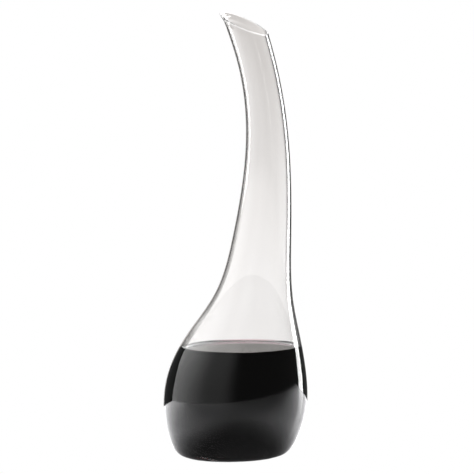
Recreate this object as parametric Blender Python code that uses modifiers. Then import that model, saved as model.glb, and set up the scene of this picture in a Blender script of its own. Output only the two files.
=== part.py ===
"""Slant-necked wine decanter: one blown glass vessel, and the red wine that stands in it.

Metres, +Z up. The table is Z = 0, and the origin is the middle of the decanter's footprint. The
neck leans out towards +X, curls back over the bowl, and ends in a slanted mouth whose pouring tip
is at -X.

Both pieces are turned about the base's own axis and then leaned: every level is carried sideways
onto the centre line and tilted square to it, so that bowl and neck stay round in section. Last,
the decanter_origin empty carries them from the base's axis to the footprint's middle.
"""

import math

import bmesh
import bpy
import numpy as np
from mathutils import Matrix, Vector

# --- driving dimensions, in millimetres unless noted ---------------------------------------------
MM = 0.001  # metres

# outside of the glass
FOOT_RADIUS = 36.0
BELLY_HEIGHT, BELLY_RADIUS = 48.0, 57.5  # the widest level
SHOULDER_HEIGHT = 100.0
NECK_LOW_HEIGHT = 175.0
THROAT_HEIGHT = 320.0
MOUTH_END_HEIGHT, MOUTH_END_RADIUS = 358.0, 15.5
NECK_END = 374.0  # blank length of the neck, before the mouth is cut off on its slant
NECK_END_RADIUS = MOUTH_END_RADIUS + 0.2

# sections above the belly: height, outside radius
UPPER_SECTIONS = (
    (SHOULDER_HEIGHT, 43.0),
    (130.0, 31.0),  # root of the neck
    (NECK_LOW_HEIGHT, 23.5),
    (240.0, 18.0),  # middle of the neck
    (THROAT_HEIGHT, 15.0),
    (MOUTH_END_HEIGHT, MOUTH_END_RADIUS),
    (NECK_END, NECK_END_RADIUS),
)

# centre line: height, distance leaned towards +X
LEAN_STATIONS = (
    (0.0, 0.0),
    (BELLY_HEIGHT, 4.5),
    (SHOULDER_HEIGHT, 17.5),
    (NECK_LOW_HEIGHT, 31.5),
    (247.0, 38.0),  # the furthest out
    (THROAT_HEIGHT, 28.0),
    (MOUTH_END_HEIGHT, 14.5),
)
SLOPE_SPAN = 0.1  # height over which the centre line's slope is taken

MOUTH_HEIGHT = 346.5  # where the slanted cut crosses the centre line
MOUTH_TILT = math.radians(24.5)  # the cut falls towards +X
LIP_FLARE = 1.3  # how far the lip turns out at the pouring tip
LIP_FLARE_DEPTH = 5.0  # how far below the cut the flare begins
FLARE_MIN_HEIGHT = 0.5 * MOUTH_HEIGHT  # only levels above this are considered for the flare
FLARE_MIN_RADIUS = 1.0  # points on the axis have no outward direction

PUNT_RADIUS, PUNT_DEPTH = 25.0, 2.4  # shallow kick-up in the underside, inside the contact ring
FLOOR_THICKNESS = 3.2  # glass over the middle of the base
FLOOR_MAX_RISE = 1.2  # the inner wall starts no further than this below the floor's middle
WALL_AT_BASE, WALL_IN_BOWL, WALL_IN_NECK = 3.0, 1.4, 1.2
WALL_BOWL_HEIGHT, WALL_NECK_HEIGHT = 26.0, 150.0  # where the wall has thinned to bowl's and neck's

FILL_LEVEL = 88.5  # height of the wine
WINE_GAP = 0.3  # between the wine and the glass

# cutting boxes: width, depth, height
MOUTH_CUTTER_SIZE = (80.0, 80.0, 60.0)
FILL_CUTTER_SIZE = (200.0, 200.0, NECK_END)

# mesh density
SEGMENTS = 40  # round the bowl and the neck
LOWER_BOWL_POINTS = 6  # stations on the quarter ellipse
PUNT_ROWS = 4
FLOOR_ROWS = 5
HEEL_PITCH, NECK_PITCH, LIP_PITCH = 4.0, 14.0, 6.0  # distance between rows
HEEL_TO_NECK = (10.0, 160.0)  # heights between which the pitch widens
NECK_TO_LIP = (290.0, 330.0)  # heights between which it closes up again
MERGE_DISTANCE = 0.00001  # metres
SHARP_ANGLE = math.radians(40)


# --- curves --------------------------------------------------------------------------------------
def spline(knots, values, at, start_slope=None):
    """Cubic through the stations, free at its ends, or leaving the first one at start_slope."""
    knots, values, at = (np.asarray(numbers, float) for numbers in (knots, values, at))
    steps, count = np.diff(knots), len(knots)
    slopes = np.diff(values) / steps

    # solve for the second derivatives that make the slope continuous at every station
    rows, right = np.zeros((count, count)), np.zeros(count)
    rows[0, 0] = rows[-1, -1] = 1.0
    if start_slope is not None:
        rows[0, 0], rows[0, 1] = 2 * steps[0], steps[0]
        right[0] = 6 * (slopes[0] - start_slope)
    for i in range(1, count - 1):
        rows[i, i - 1 : i + 2] = steps[i - 1], 2 * (steps[i - 1] + steps[i]), steps[i]
        right[i] = 6 * (slopes[i] - slopes[i - 1])
    bend = np.linalg.solve(rows, right)

    i = np.clip(np.searchsorted(knots, at, side="right") - 1, 0, count - 2)
    lower = (knots[i + 1] - at) / steps[i]  # weight of the station below
    upper = (at - knots[i]) / steps[i]  # weight of the station above
    curving = (lower**3 - lower) * bend[i] + (upper**3 - upper) * bend[i + 1]
    return lower * values[i] + upper * values[i + 1] + curving * steps[i] ** 2 / 6


def ease(fraction):
    """Smooth step from 0 to 1, level at both ends."""
    fraction = np.clip(fraction, 0.0, 1.0)
    return fraction * fraction * (3 - 2 * fraction)


def ramp(height, start, end):
    return ease((height - start) / (end - start))


def centre_line(height):
    heights, offsets = np.array(LEAN_STATIONS).T
    return spline(heights, offsets, height, start_slope=0.0)


def body_sections():
    """Heights and radii of the outside: a quarter ellipse from the foot up to the belly, then the
    sections above it."""
    turn = np.radians(np.linspace(0.0, 90.0, LOWER_BOWL_POINTS))
    lower_heights = BELLY_HEIGHT * (1 - np.cos(turn))
    lower_radii = FOOT_RADIUS + (BELLY_RADIUS - FOOT_RADIUS) * np.sin(turn)
    upper_heights, upper_radii = np.array(UPPER_SECTIONS).T
    return np.append(lower_heights, upper_heights), np.append(lower_radii, upper_radii)


def row_pitch(height):
    """Rows close together round the heel and at the lip, further apart along the neck."""
    widening = (NECK_PITCH - HEEL_PITCH) * float(ramp(height, *HEEL_TO_NECK))
    closing = (LIP_PITCH - NECK_PITCH) * float(ramp(height, *NECK_TO_LIP))
    return HEEL_PITCH + widening + closing


def outside_curve():
    """The outside profile as (radius, height) points, from the foot to the neck's end."""
    heights, radii = body_sections()
    chords = np.hypot(np.diff(heights), np.diff(radii))
    along = np.concatenate([[0], np.cumsum(chords)])
    at = [0.0]
    while at[-1] < along[-1]:
        at.append(at[-1] + row_pitch(float(spline(along, heights, at[-1]))))
    at = np.array(at) * along[-1] / at[-1]  # the last row lands on the neck's end
    return np.stack([spline(along, radii, at), spline(along, heights, at)], axis=1)


def underside_curve():
    """The punt, from its middle out to the contact ring."""
    rows = np.linspace(0.0, 1.0, PUNT_ROWS, endpoint=False)
    punt = np.stack([PUNT_RADIUS * rows, PUNT_DEPTH * (1 - rows**2)], axis=1)
    return np.concatenate([punt, [(PUNT_RADIUS, 0.0)]])


def wall_at(height):
    bowl_change = (WALL_IN_BOWL - WALL_AT_BASE) * ramp(height, 0.0, WALL_BOWL_HEIGHT)
    neck_change = (WALL_IN_NECK - WALL_IN_BOWL) * ramp(height, WALL_BOWL_HEIGHT, WALL_NECK_HEIGHT)
    return WALL_AT_BASE + bowl_change + neck_change


def inside_curve(outside, gap=0.0):
    """The glass's inner profile, or the wine's surface when gap is set: the outside profile moved
    in along its normals by the wall, then closed across the floor with a slight rise to the
    middle."""
    tangent = np.gradient(outside, axis=0)
    tangent /= np.linalg.norm(tangent, axis=1)[:, None]
    inward = np.stack([-tangent[:, 1], tangent[:, 0]], axis=1)
    inner = outside + inward * (wall_at(outside[:, 1]) + gap)[:, None]

    floor_middle = PUNT_DEPTH + FLOOR_THICKNESS + gap
    wall = inner[inner[:, 1] > floor_middle - FLOOR_MAX_RISE]
    edge_radius, edge_height = wall[0]
    rows = np.linspace(0.0, 1.0, FLOOR_ROWS, endpoint=False)
    floor_heights = edge_height + (floor_middle - edge_height) * (1 - ease(rows))
    return np.concatenate([np.stack([edge_radius * rows, floor_heights], axis=1), wall])


# --- turning and leaning -------------------------------------------------------------------------
def mouth_cut():
    """A point on the slanted cut, in millimetres, and the direction that faces out of the mouth."""
    on_cut = Vector((float(centre_line(MOUTH_HEIGHT)), 0.0, MOUTH_HEIGHT))
    return on_cut, Vector((math.sin(MOUTH_TILT), 0.0, math.cos(MOUTH_TILT)))


def lean(mesh, flare):
    """Carries each level of an upright turned mesh onto the leaning centre line."""
    cut_at, cut_normal = mouth_cut()
    for vertex in mesh.vertices:
        x, y, z = (value / MM for value in vertex.co)
        reach = SLOPE_SPAN / 2
        tilt = math.atan((centre_line(z + reach) - centre_line(z - reach)) / SLOPE_SPAN)
        across = Vector((math.cos(tilt), 0.0, -math.sin(tilt)))
        outward = x * across + Vector((0.0, y, 0.0))
        point = Vector((float(centre_line(z)), 0.0, z)) + outward
        radius = math.hypot(x, y)
        if flare and z > FLARE_MIN_HEIGHT and radius > FLARE_MIN_RADIUS:
            # the lip turns out most at the pouring tip, and hardly at all opposite it
            below = (cut_at - point).dot(cut_normal)
            tip_side = (0.5 - 0.5 * x / radius) ** 2
            point += flare * tip_side * float(ease(1 - below / LIP_FLARE_DEPTH)) / radius * outward
        vertex.co = point * MM


def evaluated(body):
    bpy.context.view_layer.update()
    return body.evaluated_get(bpy.context.evaluated_depsgraph_get())


def turned(name, profile, collection, flare=0.0):
    """A closed body turned about Z from (radius, height) points, bottom to top, then leaned."""
    profile = [*profile, (0.0, profile[-1][1])]
    points = [(radius * MM, 0.0, height * MM) for radius, height in reversed(profile)]
    line = bpy.data.meshes.new(name + "_profile")
    line.from_pydata(points, [(i, i + 1) for i in range(len(points) - 1)], [])
    blank = bpy.data.objects.new(name + "_profile", line)
    collection.objects.link(blank)
    screw = blank.modifiers.new("turn", "SCREW")
    screw.axis = "Z"
    screw.steps = screw.render_steps = SEGMENTS
    screw.use_merge_vertices = True
    screw.merge_threshold = MERGE_DISTANCE

    mesh = bpy.data.meshes.new_from_object(evaluated(blank))
    bpy.data.objects.remove(blank)
    bpy.data.meshes.remove(line)
    edit = bmesh.new()
    edit.from_mesh(mesh)
    bmesh.ops.remove_doubles(edit, verts=edit.verts, dist=MERGE_DISTANCE)
    bmesh.ops.recalc_face_normals(edit, faces=edit.faces)
    edit.to_mesh(mesh)
    edit.free()
    mesh.name = name
    lean(mesh, flare)
    body = bpy.data.objects.new(name, mesh)
    collection.objects.link(body)
    return body


# --- cutting -------------------------------------------------------------------------------------
def cutting_box(name, size, base_at, normal, rotation, collection):
    """A box standing on the plane through base_at that faces along normal; millimetres."""
    mesh = bpy.data.meshes.new(name)
    edit = bmesh.new()
    scale = Matrix.Diagonal((*(length * MM for length in size), 1.0))
    bmesh.ops.create_cube(edit, size=1.0, matrix=scale)
    edit.to_mesh(mesh)
    edit.free()
    box = bpy.data.objects.new(name, mesh)
    box.matrix_world = Matrix.Translation((base_at + normal * size[2] / 2) * MM) @ rotation
    collection.objects.link(box)
    return box


def cut(body, cutter):
    cutter.hide_render = True
    cutter.display_type = "WIRE"
    modifier = body.modifiers.new(cutter.name, "BOOLEAN")
    modifier.operation = "DIFFERENCE"
    modifier.solver = "EXACT"
    modifier.object = cutter


# --- materials -----------------------------------------------------------------------------------
def material(name, colour, roughness, transmission, ior):
    made = bpy.data.materials.new(name)
    made.use_nodes = True
    inputs = made.node_tree.nodes["Principled BSDF"].inputs
    inputs["Base Color"].default_value = (*colour, 1.0)
    inputs["Roughness"].default_value = roughness
    inputs["Metallic"].default_value = 0.0
    inputs["Transmission Weight"].default_value = transmission
    inputs["IOR"].default_value = ior
    return made


def clear_glass():
    return material(
        "clear_glass", colour=(0.97, 0.98, 0.98), roughness=0.02, transmission=1.0, ior=1.52
    )


def red_wine():
    return material(
        "red_wine", colour=(0.055, 0.003, 0.008), roughness=0.04, transmission=0.0, ior=1.34
    )


def finish(body, made):
    body.data.materials.append(made)
    body.data.shade_smooth()
    body.data.set_sharp_from_angle(angle=SHARP_ANGLE)


# --- the decanter --------------------------------------------------------------------------------
def build_vessel(outside, parts, cutters):
    profile = np.concatenate([underside_curve(), outside])
    vessel = turned("glass_vessel", profile, parts, LIP_FLARE)
    cut(vessel, turned("bowl_and_bore", inside_curve(outside), cutters))
    rotation = Matrix.Rotation(MOUTH_TILT, 4, "Y")
    cut(vessel, cutting_box("slanted_mouth", MOUTH_CUTTER_SIZE, *mouth_cut(), rotation, cutters))
    finish(vessel, clear_glass())
    return vessel


def build_wine(outside, parts, cutters):
    wine = turned("wine", inside_curve(outside, WINE_GAP), parts)
    up = Vector((0.0, 0.0, 1.0))
    above = cutting_box(
        "above_fill_level", FILL_CUTTER_SIZE, FILL_LEVEL * up, up, Matrix.Identity(4), cutters
    )
    cut(wine, above)
    finish(wine, red_wine())
    return wine


def add_origin(vessel, parts):
    """The neck overhangs the base, so the footprint's middle lies a little off the base's axis."""
    sides = [vertex.co.x for vertex in evaluated(vessel).to_mesh().vertices]
    origin = bpy.data.objects.new("decanter_origin", None)
    origin.location.x = -(min(sides) + max(sides)) / 2
    parts.objects.link(origin)
    return origin


def main():
    for old in list(bpy.data.objects):
        bpy.data.objects.remove(old)
    parts = bpy.data.collections.new("wine_decanter")
    cutters = bpy.data.collections.new("cutters")
    for group in (parts, cutters):
        bpy.context.scene.collection.children.link(group)
    cutters.hide_render = True

    outside = outside_curve()
    vessel = build_vessel(outside, parts, cutters)
    wine = build_wine(outside, parts, cutters)
    origin = add_origin(vessel, parts)
    for body in (vessel, wine, *cutters.objects):
        body.parent = origin


main()
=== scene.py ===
"""Looks for the slant-necked wine decanter: blown clear glass, part filled with red wine, on a white sweep.

It stands on Z = 0 with its foot about the origin. The neck leans towards +X, and its slanted mouth is
highest at the pouring tip, on the -X side. Both pieces are meshed here again at a finer pitch than the
solids, on the same driving dimensions, with what a solid model leaves out: a fire-polished lip, a rounded
inside heel, and the wine's meniscus. Lengths are in millimetres until a mesh is made; the studio's are in
metres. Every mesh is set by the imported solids' box.
"""

import math

import bpy
import numpy as np
from mathutils import Matrix, Vector


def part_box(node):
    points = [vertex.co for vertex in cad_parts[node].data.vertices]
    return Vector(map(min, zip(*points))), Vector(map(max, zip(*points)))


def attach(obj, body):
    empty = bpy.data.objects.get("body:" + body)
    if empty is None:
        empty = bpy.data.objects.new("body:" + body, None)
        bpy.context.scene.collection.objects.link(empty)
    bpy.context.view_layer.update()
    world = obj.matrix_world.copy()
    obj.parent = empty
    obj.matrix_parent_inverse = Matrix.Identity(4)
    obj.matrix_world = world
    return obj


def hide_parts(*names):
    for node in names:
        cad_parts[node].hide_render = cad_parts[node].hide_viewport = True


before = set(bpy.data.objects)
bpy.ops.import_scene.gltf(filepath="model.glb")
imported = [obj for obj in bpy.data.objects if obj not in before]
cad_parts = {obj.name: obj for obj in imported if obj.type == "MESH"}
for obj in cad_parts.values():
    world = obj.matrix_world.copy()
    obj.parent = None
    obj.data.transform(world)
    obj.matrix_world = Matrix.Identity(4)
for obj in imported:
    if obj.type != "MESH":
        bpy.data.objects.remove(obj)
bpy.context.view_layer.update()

MM = 0.001

# --- driving dimensions, as the solids have them -------------------------------------------------
FOOT_RADIUS = 36.0
BELLY_HEIGHT, BELLY_RADIUS = 48.0, 57.5
SHOULDER_HEIGHT = 100.0
NECK_LOW_HEIGHT = 175.0
THROAT_HEIGHT = 320.0
MOUTH_END_HEIGHT = 358.0
NECK_END = 374.0  # blank length of the neck, before the mouth is cut off on its slant

# the sections that the glass's outside is drawn down to above the belly: height, radius
UPPER_SECTIONS = (
    (SHOULDER_HEIGHT, 43.0),
    (130.0, 31.0),  # root of the neck
    (NECK_LOW_HEIGHT, 23.5),
    (240.0, 18.0),  # middle of the neck
    (THROAT_HEIGHT, 15.0),
    (MOUTH_END_HEIGHT, 15.5),
    (NECK_END, 15.7),
)

# how far the centre line has leaned towards +X: height, offset
LEAN = (
    (0.0, 0.0),
    (BELLY_HEIGHT, 4.5),
    (SHOULDER_HEIGHT, 17.5),
    (NECK_LOW_HEIGHT, 31.5),
    (247.0, 38.0),  # furthest out
    (THROAT_HEIGHT, 28.0),
    (MOUTH_END_HEIGHT, 14.5),
)

MOUTH_HEIGHT = 346.5  # where the slanted cut crosses the centre line
MOUTH_TILT = math.radians(24.5)  # the cut falls towards +X
LIP_FLARE = 1.3  # how far the lip turns out at the pouring tip
INNER_LIP_FLARE = LIP_FLARE * 0.75
LIP_FLARE_DEPTH = 5.0  # how far below the cut the flare begins

PUNT_RADIUS, PUNT_DEPTH = 25.0, 2.4  # shallow kick-up in the underside, inside the contact ring
FLOOR_THICKNESS = 3.2  # glass over the middle of the base
WALL_AT_BASE, WALL_IN_BOWL, WALL_IN_NECK = 3.0, 1.4, 1.2
WALL_BASE_HEIGHT, WALL_NECK_HEIGHT = 26.0, 150.0  # where it has thinned to the bowl's, the neck's

CONTACT_LEVEL = 89.3  # where the wine's edge clings to the glass

# --- detail the solids leave out -----------------------------------------------------------------
SEGMENTS = 144
LIP_DROP = 0.45  # the lip's rounding starts this far under the slanted cut
LIP_ROWS = 11
LIP_FULLNESS = 0.667  # the rounding's handles, as a share of the wall's width
HEEL_BLEND = 2.6  # rounding of the inside corner between wall and floor
HEEL_TOP = 40.0  # the wall below this height is blended with the floor
FLOOR_REACH = 49.0  # radius where the blended floor hands over to the wall
FLOOR_FALL, FLOOR_FALL_RADIUS = 1.2, 44.0  # how far the floor sinks from its middle, and by where
UNDERSIDE_REACH = 36.6  # radius of the underside's last ring
MENISCUS_RISE, MENISCUS_REACH = 1.9, 1.15
FILM = 0.04  # the wine's mesh stands this far inside the glass's

# pitches of the rows along a profile, and where they change
WALL_PITCH, LIP_PITCH = 1.7, 0.7
LIP_PITCH_REACH = 8.0  # length below the mouth with the lip's pitch
INSIDE_STOPS = (3.0, 3.0), (30.0, 1.2), (70.0, WALL_PITCH)  # distance, pitch after it
SLANT_FROM = 285.0  # height above which the rows turn to follow the slanted cut
WATERLINE_SPREAD = 42.0  # length over which rows turn to follow the wine's edge

# how far the wine's surface rings lie in from its edge, and the inset that would reach the middle
SURFACE_INSETS = np.concatenate([
    [0.08, 0.2, 0.36, 0.56, 0.8, 1.1, 1.5, 2.0, 2.6, 3.3, 4.2, 5.3, 6.8, 9.0],
    np.linspace(12.0, 44.0, 17),
])
SURFACE_SPAN = 46.0


# --- curves --------------------------------------------------------------------------------------
def spline(knots, values, at, start_slope=None):
    """Cubic through the stations, free at its ends, or leaving the first one at start_slope."""
    knots, values, at = (np.asarray(item, float) for item in (knots, values, at))
    steps, count = np.diff(knots), len(knots)
    slopes = np.diff(values) / steps
    rows, target = np.zeros((count, count)), np.zeros(count)
    rows[0, 0] = rows[-1, -1] = 1.0
    if start_slope is not None:
        rows[0, 0], rows[0, 1] = 2 * steps[0], steps[0]
        target[0] = 6 * (slopes[0] - start_slope)
    for i in range(1, count - 1):
        rows[i, i - 1 : i + 2] = steps[i - 1], 2 * (steps[i - 1] + steps[i]), steps[i]
        target[i] = 6 * (slopes[i] - slopes[i - 1])
    bend = np.linalg.solve(rows, target)
    i = np.clip(np.searchsorted(knots, at, side="right") - 1, 0, count - 2)
    to_next, since = (knots[i + 1] - at) / steps[i], (at - knots[i]) / steps[i]
    curve = (to_next**3 - to_next) * bend[i] + (since**3 - since) * bend[i + 1]
    return to_next * values[i] + since * values[i + 1] + curve * steps[i] ** 2 / 6


def ease(share):
    share = np.clip(share, 0.0, 1.0)
    return share * share * (3 - 2 * share)


def higher_of(first, second, blend):
    """The larger of two heights, rounded where they cross."""
    mix = np.clip(blend - np.abs(first - second), 0.0, None) / blend
    return np.maximum(first, second) + mix * mix * blend / 4


def wall_at(height):
    """The wall's thickness at a height of the outside."""
    above_base = (height - WALL_BASE_HEIGHT) / (WALL_NECK_HEIGHT - WALL_BASE_HEIGHT)
    base = WALL_AT_BASE + (WALL_IN_BOWL - WALL_AT_BASE) * ease(height / WALL_BASE_HEIGHT)
    return base + (WALL_IN_NECK - WALL_IN_BOWL) * ease(above_base)


class Profile:
    """A turned profile as (radius, height) points, read by the distance along it."""

    def __init__(self, points):
        self.points = points
        self.along = np.concatenate([[0], np.cumsum(np.hypot(*np.diff(points, axis=0).T))])

    def at(self, along):
        radius, height = self.points.T
        return np.interp(along, self.along, radius), np.interp(along, self.along, height)

    def along_at(self, height):
        """The distance along the profile at a height on the wall."""
        return float(np.interp(height, self.points[:, 1], self.along))

    def moved_in(self, gap):
        """The points moved inwards by one gap, or by a column with a gap for each."""
        along = np.gradient(self.points, axis=0)
        along /= np.linalg.norm(along, axis=1)[:, None]
        return self.points + np.stack([-along[:, 1], along[:, 0]], axis=1) * gap


def outside_profile():
    """The lower bowl is a quarter ellipse from the foot up to the belly; the rest is drawn down
    to the neck's sections."""
    turn = np.radians(np.linspace(0.0, 90.0, 6))
    upper_height, upper_radius = zip(*UPPER_SECTIONS)
    height = np.append(BELLY_HEIGHT * (1 - np.cos(turn)), upper_height)
    radius = np.append(FOOT_RADIUS + (BELLY_RADIUS - FOOT_RADIUS) * np.sin(turn), upper_radius)
    along = np.concatenate([[0], np.cumsum(np.hypot(np.diff(height), np.diff(radius)))])
    at = np.linspace(0.0, along[-1], 5000)
    return Profile(np.stack([spline(along, radius, at), spline(along, height, at)], axis=1))


def inside_profile(outside):
    """The outside moved in by the wall, and rounded into a floor with a slight rise."""
    wall = outside.moved_in(wall_at(outside.points[:, 1])[:, None])
    radius = np.linspace(0.0, FLOOR_REACH, 1200)
    corner = wall[wall[:, 1] < HEEL_TOP]
    first_radius, first_height = corner[0]
    slope = (corner[40, 1] - first_height) / (corner[40, 0] - first_radius)
    # inwards of its first point, the wall runs on straight
    run_on = first_height + (radius - first_radius) * slope
    on_wall = np.interp(radius, corner[:, 0], corner[:, 1])
    wall_height = np.where(radius < first_radius, run_on, on_wall)
    floor_height = PUNT_DEPTH + FLOOR_THICKNESS - FLOOR_FALL * ease(radius / FLOOR_FALL_RADIUS)
    low = np.stack([radius, higher_of(wall_height, floor_height, HEEL_BLEND)], axis=1)
    return Profile(np.concatenate([low, wall[np.argmax(wall[:, 0] > FLOOR_REACH) :]]))


# --- the leaning surface -------------------------------------------------------------------------
def centre_line(height):
    return spline(*zip(*LEAN), height, start_slope=0.0)


CUT_NORMAL = np.array([math.sin(MOUTH_TILT), 0.0, math.cos(MOUTH_TILT)])
CUT_AT = np.array([float(centre_line(MOUTH_HEIGHT)), 0.0, MOUTH_HEIGHT])


def below_cut(points):
    return (CUT_AT - points) @ CUT_NORMAL


def on_surface(profile, along, angle, flare=0.0):
    """Points of a turned profile after it is leaned: each level lies square to the centre line."""
    radius, height = profile.at(along)
    tilt = np.arctan((centre_line(height + 0.05) - centre_line(height - 0.05)) / 0.1)
    across = np.cos(angle)
    outward = np.stack([across * np.cos(tilt), np.sin(angle), -across * np.sin(tilt)], axis=-1)
    spine = np.stack([centre_line(height), np.zeros_like(height), height], axis=-1)
    points = spine + outward * radius[..., None]
    near_lip = 1 - below_cut(points) / LIP_FLARE_DEPTH
    out = flare * (0.5 - 0.5 * across) ** 2 * ease(near_lip)
    return points + outward * out[..., None]


def along_where(profile, angle, rising, low, high, flare=0.0):
    """For each angle, the distance along the profile where rising(points) crosses zero."""
    low, high = np.full_like(angle, low), np.full_like(angle, high)
    for _ in range(40):
        middle = (low + high) / 2
        over = rising(on_surface(profile, middle, angle, flare)) > 0
        low, high = np.where(over, low, middle), np.where(over, middle, high)
    return (low + high) / 2


def rows_between(*stops):
    """Row positions from (distance, pitch after it) stops."""
    rows = [
        np.linspace(start, end, max(1, round((end - start) / pitch)), endpoint=False)
        for (start, pitch), (end, _) in zip(stops, stops[1:])
    ]
    return np.concatenate(rows + [[stops[-1][0]]])


class Mouth:
    """One face of the wall where it ends under the slanted cut, and how its rows turn to meet it."""

    def __init__(self, profile, angle, flare):
        self.start, self.end = profile.along_at(SLANT_FROM), profile.along_at(MOUTH_HEIGHT)
        self.lip = along_where(
            profile, angle, lambda points: LIP_DROP - below_cut(points),
            low=self.end - 40, high=profile.along[-1], flare=flare,
        )
        self.edge = on_surface(profile, self.lip, angle, flare)
        rise = self.edge - on_surface(profile, self.lip - 0.2, angle, flare)
        self.upward = rise / np.linalg.norm(rise, axis=1)[:, None]
        top = self.end - LIP_PITCH_REACH
        self.stops = (self.start, WALL_PITCH), (top, LIP_PITCH), (self.end, 0)

    def slanted(self, row):
        share = ease((row - self.start) / (self.end - self.start))
        return row + (self.lip - self.end) * share


class Waterline:
    """Where the wine's edge meets a profile: the distance along it for each angle, and a level row's."""

    def __init__(self, profile, angle):
        self.level = profile.along_at(CONTACT_LEVEL)
        self.edge = along_where(
            profile, angle, lambda points: points[..., 2] - CONTACT_LEVEL,
            low=self.level - 50, high=self.level + 50,
        )

    def shift(self, row):
        """How far a row moves along the profile to follow the wine's edge."""
        return (self.edge - self.level) * ease(1 - np.abs(row - self.level) / WATERLINE_SPREAD)


# --- meshes --------------------------------------------------------------------------------------
class Rings:
    """A closed body laid up ring by ring between two poles. Each ring has the material index of the
    faces that join it to the one before."""

    def __init__(self, pole):
        self.points, self.bands = [np.array([pole], float)], []

    def add(self, ring, band=0):
        self.points.append(ring)
        self.bands.append(band)

    def mesh(self, name, pole, place):
        """The body as an object, closed with a last pole."""
        count = len(self.points[1])
        points = place(np.concatenate(self.points + [np.array([pole], float)]))
        last = len(points) - 1
        step = [(i, (i + 1) % count) for i in range(count)]
        first = [1 + count * row for row in range(len(self.bands))]
        faces = [(0, first[0] + j, first[0] + i) for i, j in step]
        for lower, upper in zip(first, first[1:]):
            faces += [(lower + i, lower + j, upper + j, upper + i) for i, j in step]
        faces += [(first[-1] + i, first[-1] + j, last) for i, j in step]
        mesh = bpy.data.meshes.new(name)
        mesh.from_pydata((points * MM).tolist(), [], faces)
        bands = np.repeat(self.bands + self.bands[-1:], count)
        mesh.polygons.foreach_set("material_index", bands.tolist())
        mesh.shade_smooth()
        mesh.set_sharp_from_angle(angle=math.radians(50))
        mesh.update()
        piece = bpy.data.objects.new(name, mesh)
        bpy.context.scene.collection.objects.link(piece)
        return piece


def add_underside(rings, angle):
    punt = np.linspace(0.6, PUNT_RADIUS, 16)
    contact = np.linspace(PUNT_RADIUS + 2, UNDERSIDE_REACH, 7)
    for radius in np.concatenate([punt, contact]):
        height = np.full_like(angle, PUNT_DEPTH * (1 - min(1.0, radius / PUNT_RADIUS) ** 2) ** 1.5)
        rings.add(np.stack([radius * np.cos(angle), radius * np.sin(angle), height], axis=1))


def add_lip(rings, outer, inner):
    """Rounds the lip over from the outer edge to the inner one."""
    reach = LIP_FULLNESS * np.linalg.norm(outer.edge - inner.edge, axis=1)[:, None]
    outer_up = outer.edge + outer.upward * reach
    inner_up = inner.edge + inner.upward * reach
    for over in np.linspace(0, 1, LIP_ROWS + 2)[1:-1]:
        back = 1 - over
        from_outer = back**3 * outer.edge + 3 * back**2 * over * outer_up
        rings.add(from_outer + 3 * back * over**2 * inner_up + over**3 * inner.edge)


def vessel_rings(outside, inside, angle):
    """The glass: underside, outside up to the lip, over it, and down the inside. Band 1 is where
    the wine wets it."""
    rings = Rings((0.0, 0.0, PUNT_DEPTH))
    add_underside(rings, angle)
    outer = Mouth(outside, angle, LIP_FLARE)
    inner = Mouth(inside, angle, INNER_LIP_FLARE)
    for row in rows_between((0.0, 0.9), (16.0, WALL_PITCH), *outer.stops):
        rings.add(on_surface(outside, outer.slanted(row), angle, LIP_FLARE))
    add_lip(rings, outer, inner)
    water = Waterline(inside, angle)
    for row in rows_between(*INSIDE_STOPS, (water.level, WALL_PITCH), *inner.stops)[::-1]:
        along = inner.slanted(row) + water.shift(row)
        ring = on_surface(inside, along, angle, INNER_LIP_FLARE)
        rings.add(ring, band=int(row < water.level - 1e-6))
    return rings


def wine_rings(inside, angle):
    """The wine: up the wall to its edge, and over its surface from the meniscus to the middle.
    Band 1 is the surface."""
    fill = Profile(inside.moved_in(FILM))
    water = Waterline(fill, angle)
    rings = Rings((0.0, 0.0, float(fill.points[0, 1])))
    for row in rows_between(*INSIDE_STOPS, (water.level, 0)):
        rings.add(on_surface(fill, row + water.shift(row), angle))
    edge = rings.points[-1]
    middle = (edge.min(axis=0) + edge.max(axis=0)) / 2
    reach = np.linalg.norm(edge[:, :2] - middle[:2], axis=1)
    for inset in SURFACE_INSETS:
        share = 1 - inset / SURFACE_SPAN
        ring = middle + (edge - middle) * share
        drop = 1 - np.exp(-reach * (1 - share) / MENISCUS_REACH)
        ring[:, 2] = CONTACT_LEVEL - MENISCUS_RISE * drop
        rings.add(ring, band=1)
    return rings, middle


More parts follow.
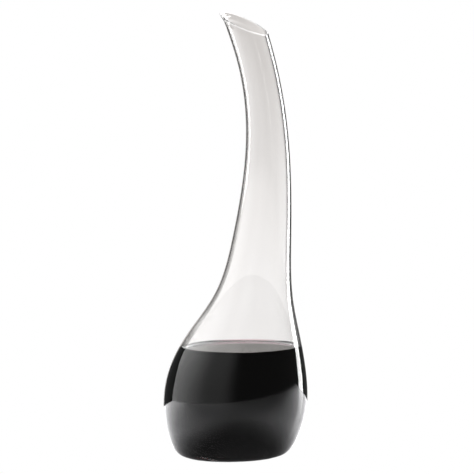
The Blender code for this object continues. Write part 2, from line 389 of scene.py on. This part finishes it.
# --- nodes ---------------------------------------------------------------------------------------
class Graph:
    """Short hands for a node tree. An operand is a number, a tuple or another node's output."""

    def __init__(self, tree):
        self.tree, self.column = tree, 0
        tree.nodes.clear()

    def node(self, kind, values=None, **settings):
        made = self.tree.nodes.new(kind)
        made.location = (self.column * 40, -(self.column % 7) * 160)
        self.column += 1
        for key, value in settings.items():
            setattr(made, key, value)
        for key, value in (values or {}).items():
            self.set(made.inputs[key], value)
        return made

    def set(self, socket, value):
        if isinstance(value, bpy.types.NodeSocket):
            self.tree.links.new(value, socket)
        elif isinstance(value, tuple) and socket.type == "RGBA":
            socket.default_value = (*value, 1.0)
        else:
            socket.default_value = value

    def math(self, operation, *operands):
        made = self.node("ShaderNodeMath", dict(enumerate(operands)), operation=operation)
        return made.outputs[0]

    def plus(self, first, second):
        return self.math("ADD", first, second)

    def times(self, first, second):
        return self.math("MULTIPLY", first, second)

    def rest(self, value):
        """What the value leaves of 1."""
        return self.math("SUBTRACT", 1.0, value)

    def vector(self, operation, *operands):
        made = self.node("ShaderNodeVectorMath", dict(enumerate(operands)), operation=operation)
        return made.outputs["Value" if operation in ("DOT_PRODUCT", "LENGTH") else "Vector"]

    def scaled(self, vector, amount):
        values = {0: vector, "Scale": amount}
        return self.node("ShaderNodeVectorMath", values, operation="SCALE").outputs["Vector"]

    def step(self, value, low, high, kind="SMOOTHSTEP"):
        """0 below low and 1 above high."""
        values = {"Value": value, "From Min": low, "From Max": high}
        return self.node("ShaderNodeMapRange", values, interpolation_type=kind).outputs["Result"]

    def edge(self, value, at, soft):
        """A step of half-width soft about a place."""
        return self.step(value, at - soft, at + soft)

    def window(self, value, low, high, soft_low, soft_high):
        rising = self.edge(value, low, soft_low / 2)
        falling = self.edge(value, high, soft_high / 2)
        return self.times(rising, self.rest(falling))

    def ramp(self, value, stops):
        """A colour ramp from (position, colour) stops."""
        made = self.node("ShaderNodeValToRGB", {"Fac": value})
        elements = made.color_ramp.elements
        while len(elements) < len(stops):
            elements.new(1.0)
        for element, (position, colour) in zip(elements, stops):
            element.position = position
            element.color = (*colour, 1.0)
        return made.outputs["Color"]

    def heading(self, direction):
        """The azimuth of a direction in degrees: 0 towards the camera, 180 away, right positive."""
        level = self.ahead()
        side = self.vector("CROSS_PRODUCT", level, (0.0, 0.0, 1.0))
        ahead = self.vector("DOT_PRODUCT", direction, level)
        right = self.vector("DOT_PRODUCT", direction, side)
        return self.math("DEGREES", self.math("ARCTAN2", right, self.times(ahead, -1.0)))

    def ahead(self):
        """The level direction away from the camera; the picture's upward one stands in for it in
        a view from above."""
        upward = self.scaled(self.camera_axis((0.0, 1.0, 0.0)), 0.5)
        level = self.vector("ADD", self.camera_axis((0.0, 0.0, 1.0)), upward)
        return self.vector("NORMALIZE", self.vector("MULTIPLY", level, (1.0, 1.0, 0.0)))

    def camera_axis(self, axis):
        return self.node(
            "ShaderNodeVectorTransform", {0: axis},
            vector_type="VECTOR", convert_from="CAMERA", convert_to="WORLD",
        ).outputs[0]

    def noise(self, place, **values):
        values = {"Vector": place, **values}
        return self.node("ShaderNodeTexNoise", values).outputs["Fac"]


# --- materials -----------------------------------------------------------------------------------
GLASS_IOR, WINE_IOR = 1.52, 1.34
WHITE = (1.0, 1.0, 1.0)


def new_material(name):
    made = bpy.data.materials.new(name)
    made.use_nodes = True
    return made, Graph(made.node_tree)


def glass_material(name, ior):
    """Clear blown glass: drawn waviness along the neck, and faint wipe marks in its polish."""
    made, graph = new_material(name)
    place = graph.node("ShaderNodeTexCoord").outputs["Object"]
    stretch = {"Vector": place, "Scale": (60.0, 60.0, 6.0)}
    drawn = graph.node("ShaderNodeMapping", stretch).outputs[0]
    waves = graph.noise(drawn, Scale=1.0, Detail=2.0, Roughness=0.45)
    ripple = {"Strength": 0.03, "Distance": 0.0002, "Height": waves}
    bump = graph.node("ShaderNodeBump", ripple).outputs[0]
    wipes = graph.noise(place, Scale=34.0, Detail=4.0, Roughness=0.6)
    roughness = graph.times(graph.step(wipes, low=0.45, high=0.75), 0.012)
    tint = graph.ramp(waves, ((0.3, (0.990, 0.988, 0.986)), (0.7, WHITE)))
    shader = graph.node("ShaderNodeBsdfPrincipled", {
        "Base Color": tint, "Roughness": roughness, "IOR": ior,
        "Transmission Weight": 1.0, "Normal": bump,
    })
    graph.node("ShaderNodeOutputMaterial", {"Surface": shader.outputs[0]})
    return made


def wine_material(name):
    """Red wine: it takes out green and blue within a few millimetres, and red within a few more.
    Only its open surface bends light; where it wets the glass, the glass's own inner face does."""
    made, graph = new_material(name)
    surface = graph.node("ShaderNodeAttribute", attribute_name="open_surface").outputs["Fac"]
    ior = graph.plus(1.0, graph.times(surface, WINE_IOR - 1.0))
    place = graph.node("ShaderNodeTexCoord").outputs["Object"]
    cloud = graph.noise(place, Scale=22.0, Detail=2.0)
    tint = graph.ramp(cloud, ((0.3, (0.96, 0.90, 0.91)), (0.7, (1.0, 0.95, 0.96))))
    roughness = graph.times(cloud, 0.01)
    shader = graph.node("ShaderNodeBsdfPrincipled", {
        "Base Color": tint, "Roughness": roughness, "IOR": ior, "Transmission Weight": 1.0,
    })
    depth = {"Color": (0.57, 0.0, 0.06), "Density": 280.0}
    absorb = graph.node("ShaderNodeVolumeAbsorption", depth)
    ends = {"Surface": shader.outputs[0], "Volume": absorb.outputs[0]}
    graph.node("ShaderNodeOutputMaterial", ends)
    return made


# --- the studio ----------------------------------------------------------------------------------
# A white table and sheet, a big soft box on the left, a tall strip light behind on the right and a
# round light above and behind, in a dark room. Angles are in degrees, and azimuths turn with the
# camera: 0 towards it, 180 behind the decanter, right positive. Brightness is beside a white of 1.
LIGHTS_BOTTOM, LIGHTS_TOP = -14.0, 75.0  # elevations of the strip and the box
STRIP_FROM, STRIP_TO, STRIP_POWER = 122.5, 138.0, 7.0
BOX_FROM, BOX_TO, BOX_LEAN, BOX_POWER = -122.0, -12.0, 24.0, 1.45
BOX_EDGE, BOX_NEAR_EDGE = 1.4, 16.0  # softness of its far and near edges
BOX_FADE, BOX_GAIN = 0.75, 0.3  # what it loses towards the camera, and gains high up
ROOM = 0.08
TOP_LIGHT_AT, TOP_LIGHT_HEIGHT, TOP_LIGHT_POWER = -174.0, math.radians(50.0), 3.6
TOP_LIGHT_RADIUS, TOP_LIGHT_EDGE = 40.0, 4.0
SHEET_LEFT, SHEET_RIGHT = 17.0, 7.5  # how far it reaches to each side of straight behind
SHEET_EDGE = 3.0
SHEET_FALL = (  # position between the elevations -10 and 30, colour
    (0.0, (0.98, 0.96, 0.95)),
    (0.10, (0.93, 0.91, 0.90)),
    (0.20, (0.63, 0.60, 0.58)),
    (0.42, (0.50, 0.48, 0.46)),
    (1.0, (0.48, 0.46, 0.44)),
)


def soft_box(graph, azimuth, elevation):
    """It leans: high up it reaches further round behind. It is brightest at its far edge and high
    up, and fades out towards the camera."""
    lean = graph.times(graph.step(elevation, low=4.0, high=28.0), BOX_LEAN)
    leaning = graph.plus(azimuth, lean)
    fade = graph.rest(graph.times(graph.step(azimuth, low=-104.0, high=-42.0), BOX_FADE))
    higher = graph.plus(1.0, graph.times(graph.step(elevation, low=2.0, high=32.0), BOX_GAIN))
    near_edge = graph.rest(graph.edge(azimuth, BOX_TO, BOX_NEAR_EDGE))
    box = graph.times(graph.edge(leaning, BOX_FROM, BOX_EDGE), near_edge)
    return graph.times(graph.times(box, BOX_POWER), graph.times(fade, higher))


def top_light(graph, azimuth, elevation, height):
    """The round light, by a direction's nearness to its centre."""
    turned = graph.math("RADIANS", graph.math("SUBTRACT", azimuth, TOP_LIGHT_AT))
    turned = graph.math("COSINE", turned)
    level = graph.times(graph.math("COSINE", graph.math("RADIANS", elevation)), turned)
    towards = graph.plus(
        graph.times(level, math.cos(TOP_LIGHT_HEIGHT)),
        graph.times(height, math.sin(TOP_LIGHT_HEIGHT)),
    )
    disc = graph.step(
        towards,
        low=math.cos(math.radians(TOP_LIGHT_RADIUS + TOP_LIGHT_EDGE)),
        high=math.cos(math.radians(TOP_LIGHT_RADIUS - TOP_LIGHT_EDGE)),
    )
    return graph.times(disc, TOP_LIGHT_POWER)


def white_sheet(graph, azimuth, elevation):
    left = graph.rest(graph.edge(azimuth, SHEET_LEFT - 180, SHEET_EDGE))
    sheet = graph.plus(left, graph.edge(azimuth, 180 - SHEET_RIGHT, SHEET_EDGE))
    share = graph.step(elevation, low=-10.0, high=30.0, kind="LINEAR")
    return graph.scaled(graph.ramp(share, SHEET_FALL), sheet)


def studio_world():
    """The lights turn with the camera, as for a photographer who turns the piece on the table.
    The camera itself sees plain white."""
    world = bpy.data.worlds.new("studio")
    world.use_nodes = True
    graph = Graph(world.node_tree)
    direction = graph.node("ShaderNodeTexCoord").outputs["Generated"]
    azimuth = graph.heading(direction)
    height = graph.node("ShaderNodeSeparateXYZ", {"Vector": direction}).outputs["Z"]
    elevation = graph.math("DEGREES", graph.math("ARCSINE", height))
    upright = graph.window(elevation, LIGHTS_BOTTOM, LIGHTS_TOP, soft_low=2.0, soft_high=16.0)
    strip = graph.window(azimuth, STRIP_FROM, STRIP_TO, soft_low=1.2, soft_high=1.6)
    strip = graph.times(strip, STRIP_POWER)
    sides = graph.plus(strip, soft_box(graph, azimuth, elevation))
    lights = graph.plus(graph.times(sides, upright), ROOM)
    lights = graph.plus(lights, top_light(graph, azimuth, elevation, height))
    sheet = white_sheet(graph, azimuth, elevation)
    seen = graph.vector("ADD", graph.scaled(WHITE, lights), sheet)
    ray = graph.node("ShaderNodeLightPath")
    choice = {"Factor": ray.outputs["Is Camera Ray"], 6: seen, 7: WHITE}
    colour = graph.node("ShaderNodeMix", choice, data_type="RGBA").outputs[2]
    backdrop = graph.node("ShaderNodeBackground", {"Color": colour, "Strength": 1.0})
    graph.node("ShaderNodeOutputWorld", {"Surface": backdrop.outputs[0]})
    bpy.context.scene.world = world


TABLE_RADIUS, TABLE_LEVEL = 1.0, -0.0002
TABLE_EDGE, TABLE_EDGE_SOFT = 0.30, 0.01  # where it ends behind the decanter
# the table's emitted brightness to reflections is painted light and painted shade, not lit by the studio's
# lamps
TABLE_FRONT, TABLE_BEHIND = 0.48, 2.3  # its brightness in front and behind
TABLE_LOSS = 0.65  # what it loses towards the front right
# the painted shadow round the foot: its emitted brightness, its narrowing across, and its shift towards the
# camera
SHADE_LIGHT = 0.12  # its brightness in the shade round the foot
SHADE_NARROWING, SHADE_FORWARD = 1.3, 0.04  # the shade's narrower width, and place before the foot


def table_material():
    """White table. To reflections it glows with painted light, brighter behind as if lit from there, with a
    painted soft shadow of the decanter round its foot and a glossy sheen that this painted shadow dims;
    every other ray sees it plain white."""
    made, graph = new_material("white_table")
    place = graph.node("ShaderNodeNewGeometry").outputs["Position"]
    ahead = graph.vector("MULTIPLY", graph.ahead(), (1.0, 1.0, 0.0))
    behind = graph.vector("DOT_PRODUCT", place, ahead)
    # painted pool of light: the emitted brightness rises from TABLE_FRONT in front of the foot to
    # TABLE_BEHIND behind it
    rise = graph.times(graph.step(behind, low=-0.20, high=0.14), TABLE_BEHIND - TABLE_FRONT)
    light = graph.plus(TABLE_FRONT, rise)
    # its painted light falls off towards the front right, away from the soft box
    side = graph.vector("CROSS_PRODUCT", ahead, (0.0, 0.0, 1.0))
    aside = graph.vector("DOT_PRODUCT", place, side)
    away = graph.times(graph.math("SUBTRACT", aside, behind), 0.7)  # about 1 / sqrt 2
    loss = graph.times(graph.step(away, low=0.04, high=0.55), TABLE_LOSS)
    light = graph.times(light, graph.rest(loss))
    # painted shadow round the foot: an oval a little before the foot, narrower across, where the emitted
    # brightness drops to SHADE_LIGHT
    beside, near = graph.times(aside, SHADE_NARROWING), graph.plus(behind, SHADE_FORWARD)
    squares = graph.plus(graph.times(beside, beside), graph.times(near, near))
    shade = graph.step(graph.math("SQRT", squares), low=0.040, high=0.142)
    lift = graph.times(shade, graph.math("SUBTRACT", light, SHADE_LIGHT))
    light = graph.plus(SHADE_LIGHT, lift)
    lit = graph.node("ShaderNodeEmission", {"Color": (0.985, 0.98, 1.0), "Strength": light})
    fresnel = graph.node("ShaderNodeFresnel", {"IOR": 1.45}).outputs[0]
    # the glossy sheen is dimmed by the same painted shadow
    gloss = {"Color": graph.scaled(WHITE, graph.times(shade, fresnel)), "Roughness": 0.3}
    sheen = graph.node("ShaderNodeBsdfGlossy", gloss)
    # the painted light plus the glossy sheen
    painted_light_and_sheen = graph.node("ShaderNodeAddShader", {0: lit.outputs[0], 1: sheen.outputs[0]})
    plain = graph.node("ShaderNodeEmission", {"Color": WHITE, "Strength": 1.0})
    ray = graph.node("ShaderNodeLightPath").outputs
    top = graph.node("ShaderNodeMixShader", {
        0: ray["Is Reflection Ray"], 1: plain.outputs[0], 2: painted_light_and_sheen.outputs[0],
    })
    # except to the camera, it ends in a straight edge behind the decanter, and fades out all round
    beyond = graph.edge(behind, TABLE_EDGE, TABLE_EDGE_SOFT)
    outer = graph.step(graph.vector("LENGTH", place), low=0.5, high=TABLE_RADIUS)
    past = graph.math("MAXIMUM", beyond, outer)
    past = graph.times(past, graph.rest(ray["Is Camera Ray"]))
    room = graph.node("ShaderNodeBsdfTransparent")
    seen = graph.node("ShaderNodeMixShader", {0: past, 1: top.outputs[0], 2: room.outputs[0]})
    graph.node("ShaderNodeOutputMaterial", {"Surface": seen.outputs[0]})
    return made


def table():
    count = 96
    turn = np.arange(count) * 2 * math.pi / count
    rim = [(TABLE_RADIUS * math.cos(a), TABLE_RADIUS * math.sin(a), TABLE_LEVEL) for a in turn]
    faces = [(0, 1 + i, 1 + (i + 1) % count) for i in range(count)]
    mesh = bpy.data.meshes.new("table")
    mesh.from_pydata([(0.0, 0.0, TABLE_LEVEL)] + rim, [], faces)
    made = bpy.data.objects.new("table", mesh)
    bpy.context.scene.collection.objects.link(made)
    mesh.materials.append(table_material())


CAMERA_DISTANCE, CAMERA_TARGET_HEIGHT = 3.23, 0.172
CAMERA_AZIMUTH = math.radians(33.0)  # round from -Y towards +X
CAMERA_ELEVATION, CAMERA_ROLL = math.radians(5.1), math.radians(0.9)


def camera(offset):
    """A long lens a little above the table, in front (-Y) and round towards the neck's lean."""
    target = Vector((offset * MM, 0.0, CAMERA_TARGET_HEIGHT))
    level = math.cos(CAMERA_ELEVATION)
    back = Vector((
        math.sin(CAMERA_AZIMUTH) * level,
        -math.cos(CAMERA_AZIMUTH) * level,
        math.sin(CAMERA_ELEVATION),
    ))
    data = bpy.data.cameras.new("camera")
    data.sensor_width = 36.0
    data.lens = 307.0
    data.shift_x, data.shift_y = 0.0175, 0.011
    data.clip_start, data.clip_end = 0.1, 50.0
    made = bpy.data.objects.new("camera", data)
    made.rotation_mode = "QUATERNION"
    made.location = target + back * CAMERA_DISTANCE
    roll = Matrix.Rotation(-CAMERA_ROLL, 4, "Z").to_quaternion()
    made.rotation_quaternion = (-back).to_track_quat("-Z", "Y") @ roll
    bpy.context.scene.collection.objects.link(made)
    bpy.context.scene.camera = made


# --- the decanter --------------------------------------------------------------------------------
turn = np.arange(SEGMENTS) * 2 * math.pi / SEGMENTS
outside = outside_profile()
inside = inside_profile(outside)
vessel_lay = vessel_rings(outside, inside, turn)
wine_lay, wine_middle = wine_rings(inside, turn)

# the solids' box sets where both meshes stand, and trims the little that fine rows stand proud of
# coarse ones
low, high = (np.array(corner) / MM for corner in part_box("glass_vessel"))
laid = np.concatenate(vessel_lay.points)
laid_low, laid_high = laid.min(axis=0), laid.max(axis=0)
trim = np.minimum(1.0, (high - low) / (laid_high - laid_low))
trim[2] = min(1.0, high[2] / laid_high[2])
shift_x = (low[0] + high[0]) / 2 - trim[0] * (laid_low[0] + laid_high[0]) / 2


def place(points):
    return points * trim + (shift_x, 0.0, 0.0)


vessel_pole = (0.0, 0.0, float(inside.points[0, 1]))
vessel = vessel_lay.mesh("blown_glass_vessel", vessel_pole, place)
vessel.data.materials.append(glass_material("clear_glass_dry", GLASS_IOR))
vessel.data.materials.append(glass_material("clear_glass_wetted", GLASS_IOR / WINE_IOR))
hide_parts("glass_vessel")
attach(vessel, "root")

wine_pole = (*wine_middle[:2], CONTACT_LEVEL - MENISCUS_RISE)
wine = wine_lay.mesh("red_wine_fill", wine_pole, place)
# the wine has one material, which reads its bands from an attribute
bands = np.zeros(len(wine.data.polygons), dtype=np.int32)
wine.data.polygons.foreach_get("material_index", bands)
wine.data.polygons.foreach_set("material_index", np.zeros_like(bands))
open_surface = wine.data.attributes.new("open_surface", "FLOAT", "FACE")
open_surface.data.foreach_set("value", bands.astype(np.float32))
wine.data.materials.append(wine_material("red_wine"))
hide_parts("wine")
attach(wine, "root")

studio_world()
table()
camera(shift_x)

scene = bpy.context.scene
scene.view_settings.view_transform = "Standard"
scene.view_settings.look = "None"
scene.cycles.max_bounces = 24
scene.cycles.transmission_bounces = 24
scene.cycles.glossy_bounces = 12
scene.cycles.transparent_max_bounces = 16
scene.cycles.use_denoising = True
